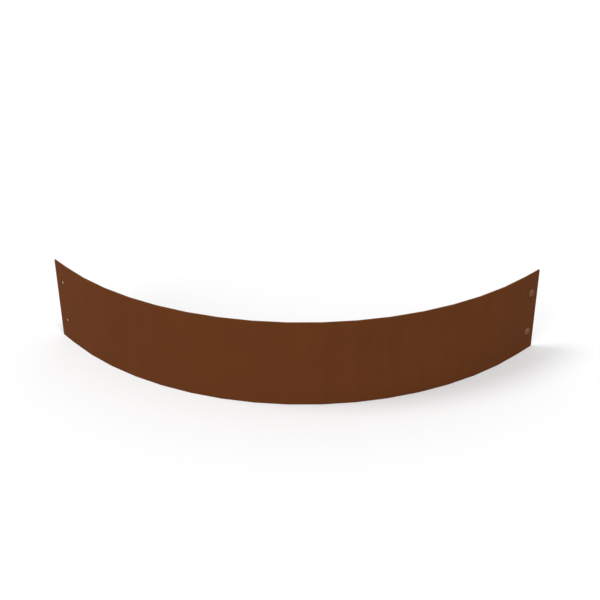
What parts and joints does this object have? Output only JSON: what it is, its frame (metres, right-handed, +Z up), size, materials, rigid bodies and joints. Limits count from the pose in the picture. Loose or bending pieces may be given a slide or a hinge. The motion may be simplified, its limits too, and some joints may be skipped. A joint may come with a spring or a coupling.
{
  "type": "curved landscape edging panel",
  "caption": "Tall strip of weathering-steel plate bent through a quarter turn, with clear holes in one end lap and flanged button screws, washers and nuts in the other.",
  "frame": {"origin": "middle of the bounding box's base, on the surface that the panel's bottom edge stands on, inside the curve", "axes": "+Z up along the panel's height; the lap with the open holes faces -Y at the low Y side; the lap with the screws faces +X at the high X side; the curve bulges towards +X -Y"},
  "size_m": [0.7796, 0.775, 0.2],
  "materials": {
    "weathered_plate": "matte",
    "weathered_screw": "satin",
    "weathered_hardware": "satin"
  },
  "bodies": {
    "panel": {"panel": "weathered_plate"},
    "upper_screw": {"upper_screw": "weathered_screw"},
    "upper_washer": {"upper_washer": "weathered_hardware"},
    "upper_nut": {"upper_nut": "weathered_hardware"},
    "lower_screw": {"lower_screw": "weathered_screw"},
    "lower_washer": {"lower_washer": "weathered_hardware"},
    "lower_nut": {"lower_nut": "weathered_hardware"}
  },
  "joints": [
    {"name": "upper_screw_turn", "type": "hinge", "parent": "panel", "child": "upper_screw", "pos_m": [0.3854, 0.3625, 0.15], "axis": [1, 0, 0], "continuous": true},
    {"name": "upper_washer_travel", "type": "slide", "parent": "upper_screw", "child": "upper_washer", "axis": [-1, 0, 0], "range_m": [0, 0.015]},
    {"name": "upper_nut_turn", "type": "hinge", "parent": "upper_washer", "child": "upper_nut", "pos_m": [0.3802, 0.3625, 0.15], "axis": [-1, 0, 0], "range_deg": [0, 4325]},
    {"name": "lower_screw_turn", "type": "hinge", "parent": "panel", "child": "lower_screw", "pos_m": [0.3854, 0.3625, 0.05], "axis": [1, 0, 0], "continuous": true},
    {"name": "lower_washer_travel", "type": "slide", "parent": "lower_screw", "child": "lower_washer", "axis": [-1, 0, 0], "range_m": [0, 0.015]},
    {"name": "lower_nut_turn", "type": "hinge", "parent": "lower_washer", "child": "lower_nut", "pos_m": [0.3802, 0.3625, 0.05], "axis": [-1, 0, 0], "range_deg": [0, 4325]}
  ],
  "couplings": [
    {"joint": "upper_nut_turn", "follows": "upper_washer_travel", "rad_per_m": 5026.5},
    {"joint": "lower_nut_turn", "follows": "lower_washer_travel", "rad_per_m": 5026.5}
  ]
}
